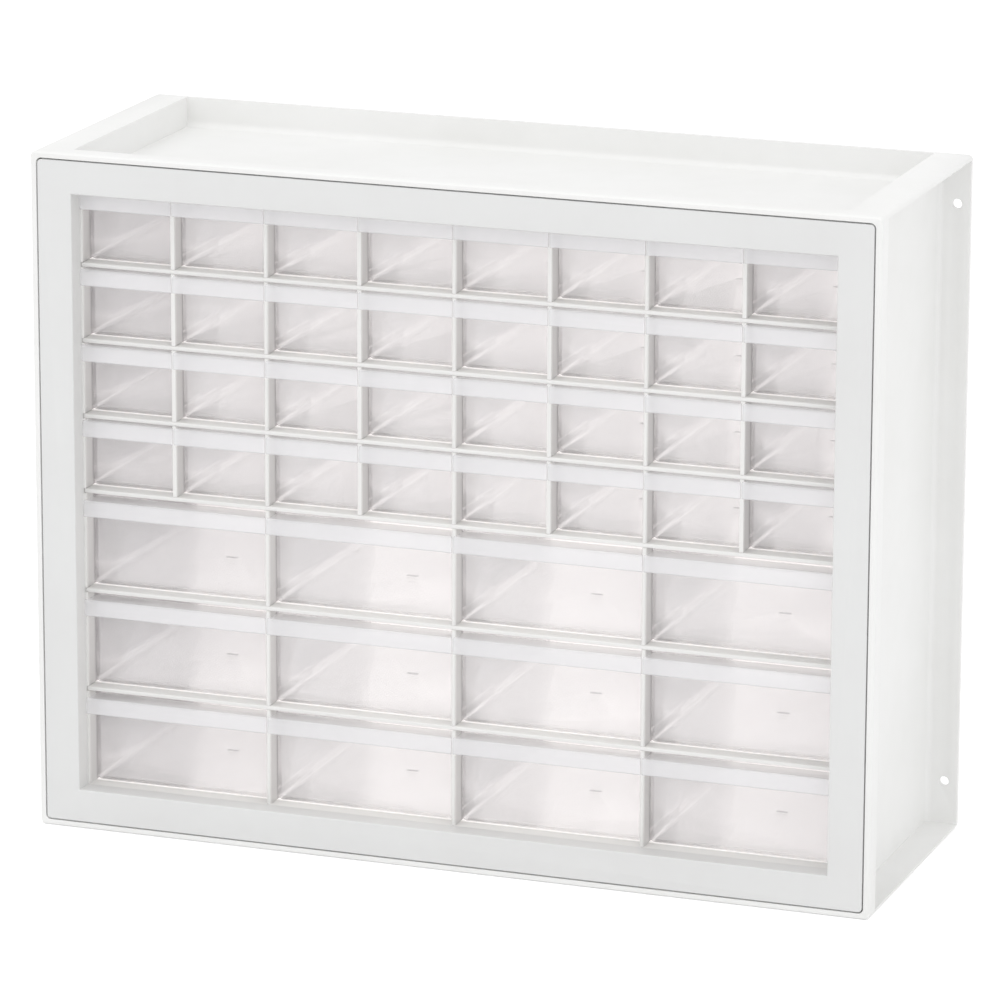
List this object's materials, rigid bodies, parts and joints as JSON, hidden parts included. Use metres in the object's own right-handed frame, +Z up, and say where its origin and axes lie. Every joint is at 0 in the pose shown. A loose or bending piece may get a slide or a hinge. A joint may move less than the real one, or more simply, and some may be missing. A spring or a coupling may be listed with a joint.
{
  "type": "craft storage drawer cabinet",
  "caption": "Free-standing white moulded cabinet of small and large clear drawers, each sliding out of its own cell, for embroidery thread and small craft parts.",
  "frame": {"origin": "middle of the cabinet's footprint, on the surface it stands on", "axes": "+Z up, -Y out of the front (the way the drawers open), +X to the right seen from the front"},
  "size_m": [0.4952, 0.1778, 0.3937],
  "materials": {
    "casing_white": "moulded white polystyrene, fine satin grain",
    "bezel_white": "moulded white polystyrene, satin",
    "grid_white": "moulded white polystyrene, satin",
    "panel_white": "white sheet, matt",
    "drawer_clear": "clear polystyrene, slightly hazy"
  },
  "bodies": {
    "cabinet": {"outer_casing": "casing_white", "front_bezel": "bezel_white", "cell_liner": "grid_white", "back_panel": "panel_white", "shelf_1": "grid_white", "shelf_2": "grid_white", "shelf_3": "grid_white", "shelf_middle": "grid_white", "shelf_5": "grid_white", "shelf_6": "grid_white", "tall_divider_left": "grid_white", "tall_divider_middle": "grid_white", "tall_divider_right": "grid_white", "short_dividers": "grid_white"},
    "small_drawer_1_1": {"small_drawer_1_1": "drawer_clear"},
    "small_drawer_1_2": {"small_drawer_1_2": "drawer_clear"},
    "small_drawer_1_3": {"small_drawer_1_3": "drawer_clear"},
    "small_drawer_1_4": {"small_drawer_1_4": "drawer_clear"},
    "small_drawer_1_5": {"small_drawer_1_5": "drawer_clear"},
    "small_drawer_1_6": {"small_drawer_1_6": "drawer_clear"},
    "small_drawer_1_7": {"small_drawer_1_7": "drawer_clear"},
    "small_drawer_1_8": {"small_drawer_1_8": "drawer_clear"},
    "small_drawer_2_1": {"small_drawer_2_1": "drawer_clear"},
    "small_drawer_2_2": {"small_drawer_2_2": "drawer_clear"},
    "small_drawer_2_3": {"small_drawer_2_3": "drawer_clear"},
    "small_drawer_2_4": {"small_drawer_2_4": "drawer_clear"},
    "small_drawer_2_5": {"small_drawer_2_5": "drawer_clear"},
    "small_drawer_2_6": {"small_drawer_2_6": "drawer_clear"},
    "small_drawer_2_7": {"small_drawer_2_7": "drawer_clear"},
    "small_drawer_2_8": {"small_drawer_2_8": "drawer_clear"},
    "small_drawer_3_1": {"small_drawer_3_1": "drawer_clear"},
    "small_drawer_3_2": {"small_drawer_3_2": "drawer_clear"},
    "small_drawer_3_3": {"small_drawer_3_3": "drawer_clear"},
    "small_drawer_3_4": {"small_drawer_3_4": "drawer_clear"},
    "small_drawer_3_5": {"small_drawer_3_5": "drawer_clear"},
    "small_drawer_3_6": {"small_drawer_3_6": "drawer_clear"},
    "small_drawer_3_7": {"small_drawer_3_7": "drawer_clear"},
    "small_drawer_3_8": {"small_drawer_3_8": "drawer_clear"},
    "small_drawer_4_1": {"small_drawer_4_1": "drawer_clear"},
    "small_drawer_4_2": {"small_drawer_4_2": "drawer_clear"},
    "small_drawer_4_3": {"small_drawer_4_3": "drawer_clear"},
    "small_drawer_4_4": {"small_drawer_4_4": "drawer_clear"},
    "small_drawer_4_5": {"small_drawer_4_5": "drawer_clear"},
    "small_drawer_4_6": {"small_drawer_4_6": "drawer_clear"},
    "small_drawer_4_7": {"small_drawer_4_7": "drawer_clear"},
    "small_drawer_4_8": {"small_drawer_4_8": "drawer_clear"},
    "large_drawer_1_1": {"large_drawer_1_1": "drawer_clear"},
    "large_drawer_1_2": {"large_drawer_1_2": "drawer_clear"},
    "large_drawer_1_3": {"large_drawer_1_3": "drawer_clear"},
    "large_drawer_1_4": {"large_drawer_1_4": "drawer_clear"},
    "large_drawer_2_1": {"large_drawer_2_1": "drawer_clear"},
    "large_drawer_2_2": {"large_drawer_2_2": "drawer_clear"},
    "large_drawer_2_3": {"large_drawer_2_3": "drawer_clear"},
    "large_drawer_2_4": {"large_drawer_2_4": "drawer_clear"},
    "large_drawer_3_1": {"large_drawer_3_1": "drawer_clear"},
    "large_drawer_3_2": {"large_drawer_3_2": "drawer_clear"},
    "large_drawer_3_3": {"large_drawer_3_3": "drawer_clear"},
    "large_drawer_3_4": {"large_drawer_3_4": "drawer_clear"}
  },
  "joints": [
    {"name": "small_drawer_1_1_slide", "type": "slide", "parent": "cabinet", "child": "small_drawer_1_1", "axis": [0, -1, 0], "range_m": [0, 0.115]},
    {"name": "small_drawer_1_2_slide", "type": "slide", "parent": "cabinet", "child": "small_drawer_1_2", "axis": [0, -1, 0], "range_m": [0, 0.115]},
    {"name": "small_drawer_1_3_slide", "type": "slide", "parent": "cabinet", "child": "small_drawer_1_3", "axis": [0, -1, 0], "range_m": [0, 0.115]},
    {"name": "small_drawer_1_4_slide", "type": "slide", "parent": "cabinet", "child": "small_drawer_1_4", "axis": [0, -1, 0], "range_m": [0, 0.115]},
    {"name": "small_drawer_1_5_slide", "type": "slide", "parent": "cabinet", "child": "small_drawer_1_5", "axis": [0, -1, 0], "range_m": [0, 0.115]},
    {"name": "small_drawer_1_6_slide", "type": "slide", "parent": "cabinet", "child": "small_drawer_1_6", "axis": [0, -1, 0], "range_m": [0, 0.115]},
    {"name": "small_drawer_1_7_slide", "type": "slide", "parent": "cabinet", "child": "small_drawer_1_7", "axis": [0, -1, 0], "range_m": [0, 0.115]},
    {"name": "small_drawer_1_8_slide", "type": "slide", "parent": "cabinet", "child": "small_drawer_1_8", "axis": [0, -1, 0], "range_m": [0, 0.115]},
    {"name": "small_drawer_2_1_slide", "type": "slide", "parent": "cabinet", "child": "small_drawer_2_1", "axis": [0, -1, 0], "range_m": [0, 0.115]},
    {"name": "small_drawer_2_2_slide", "type": "slide", "parent": "cabinet", "child": "small_drawer_2_2", "axis": [0, -1, 0], "range_m": [0, 0.115]},
    {"name": "small_drawer_2_3_slide", "type": "slide", "parent": "cabinet", "child": "small_drawer_2_3", "axis": [0, -1, 0], "range_m": [0, 0.115]},
    {"name": "small_drawer_2_4_slide", "type": "slide", "parent": "cabinet", "child": "small_drawer_2_4", "axis": [0, -1, 0], "range_m": [0, 0.115]},
    {"name": "small_drawer_2_5_slide", "type": "slide", "parent": "cabinet", "child": "small_drawer_2_5", "axis": [0, -1, 0], "range_m": [0, 0.115]},
    {"name": "small_drawer_2_6_slide", "type": "slide", "parent": "cabinet", "child": "small_drawer_2_6", "axis": [0, -1, 0], "range_m": [0, 0.115]},
    {"name": "small_drawer_2_7_slide", "type": "slide", "parent": "cabinet", "child": "small_drawer_2_7", "axis": [0, -1, 0], "range_m": [0, 0.115]},
    {"name": "small_drawer_2_8_slide", "type": "slide", "parent": "cabinet", "child": "small_drawer_2_8", "axis": [0, -1, 0], "range_m": [0, 0.115]},
    {"name": "small_drawer_3_1_slide", "type": "slide", "parent": "cabinet", "child": "small_drawer_3_1", "axis": [0, -1, 0], "range_m": [0, 0.115]},
    {"name": "small_drawer_3_2_slide", "type": "slide", "parent": "cabinet", "child": "small_drawer_3_2", "axis": [0, -1, 0], "range_m": [0, 0.115]},
    {"name": "small_drawer_3_3_slide", "type": "slide", "parent": "cabinet", "child": "small_drawer_3_3", "axis": [0, -1, 0], "range_m": [0, 0.115]},
    {"name": "small_drawer_3_4_slide", "type": "slide", "parent": "cabinet", "child": "small_drawer_3_4", "axis": [0, -1, 0], "range_m": [0, 0.115]},
    {"name": "small_drawer_3_5_slide", "type": "slide", "parent": "cabinet", "child": "small_drawer_3_5", "axis": [0, -1, 0], "range_m": [0, 0.115]},
    {"name": "small_drawer_3_6_slide", "type": "slide", "parent": "cabinet", "child": "small_drawer_3_6", "axis": [0, -1, 0], "range_m": [0, 0.115]},
    {"name": "small_drawer_3_7_slide", "type": "slide", "parent": "cabinet", "child": "small_drawer_3_7", "axis": [0, -1, 0], "range_m": [0, 0.115]},
    {"name": "small_drawer_3_8_slide", "type": "slide", "parent": "cabinet", "child": "small_drawer_3_8", "axis": [0, -1, 0], "range_m": [0, 0.115]},
    {"name": "small_drawer_4_1_slide", "type": "slide", "parent": "cabinet", "child": "small_drawer_4_1", "axis": [0, -1, 0], "range_m": [0, 0.115]},
    {"name": "small_drawer_4_2_slide", "type": "slide", "parent": "cabinet", "child": "small_drawer_4_2", "axis": [0, -1, 0], "range_m": [0, 0.115]},
    {"name": "small_drawer_4_3_slide", "type": "slide", "parent": "cabinet", "child": "small_drawer_4_3", "axis": [0, -1, 0], "range_m": [0, 0.115]},
    {"name": "small_drawer_4_4_slide", "type": "slide", "parent": "cabinet", "child": "small_drawer_4_4", "axis": [0, -1, 0], "range_m": [0, 0.115]},
    {"name": "small_drawer_4_5_slide", "type": "slide", "parent": "cabinet", "child": "small_drawer_4_5", "axis": [0, -1, 0], "range_m": [0, 0.115]},
    {"name": "small_drawer_4_6_slide", "type": "slide", "parent": "cabinet", "child": "small_drawer_4_6", "axis": [0, -1, 0], "range_m": [0, 0.115]},
    {"name": "small_drawer_4_7_slide", "type": "slide", "parent": "cabinet", "child": "small_drawer_4_7", "axis": [0, -1, 0], "range_m": [0, 0.115]},
    {"name": "small_drawer_4_8_slide", "type": "slide", "parent": "cabinet", "child": "small_drawer_4_8", "axis": [0, -1, 0], "range_m": [0, 0.115]},
    {"name": "large_drawer_1_1_slide", "type": "slide", "parent": "cabinet", "child": "large_drawer_1_1", "axis": [0, -1, 0], "range_m": [0, 0.115]},
    {"name": "large_drawer_1_2_slide", "type": "slide", "parent": "cabinet", "child": "large_drawer_1_2", "axis": [0, -1, 0], "range_m": [0, 0.115]},
    {"name": "large_drawer_1_3_slide", "type": "slide", "parent": "cabinet", "child": "large_drawer_1_3", "axis": [0, -1, 0], "range_m": [0, 0.115]},
    {"name": "large_drawer_1_4_slide", "type": "slide", "parent": "cabinet", "child": "large_drawer_1_4", "axis": [0, -1, 0], "range_m": [0, 0.115]},
    {"name": "large_drawer_2_1_slide", "type": "slide", "parent": "cabinet", "child": "large_drawer_2_1", "axis": [0, -1, 0], "range_m": [0, 0.115]},
    {"name": "large_drawer_2_2_slide", "type": "slide", "parent": "cabinet", "child": "large_drawer_2_2", "axis": [0, -1, 0], "range_m": [0, 0.115]},
    {"name": "large_drawer_2_3_slide", "type": "slide", "parent": "cabinet", "child": "large_drawer_2_3", "axis": [0, -1, 0], "range_m": [0, 0.115]},
    {"name": "large_drawer_2_4_slide", "type": "slide", "parent": "cabinet", "child": "large_drawer_2_4", "axis": [0, -1, 0], "range_m": [0, 0.115]},
    {"name": "large_drawer_3_1_slide", "type": "slide", "parent": "cabinet", "child": "large_drawer_3_1", "axis": [0, -1, 0], "range_m": [0, 0.115]},
    {"name": "large_drawer_3_2_slide", "type": "slide", "parent": "cabinet", "child": "large_drawer_3_2", "axis": [0, -1, 0], "range_m": [0, 0.115]},
    {"name": "large_drawer_3_3_slide", "type": "slide", "parent": "cabinet", "child": "large_drawer_3_3", "axis": [0, -1, 0], "range_m": [0, 0.115]},
    {"name": "large_drawer_3_4_slide", "type": "slide", "parent": "cabinet", "child": "large_drawer_3_4", "axis": [0, -1, 0], "range_m": [0, 0.115]}
  ]
}
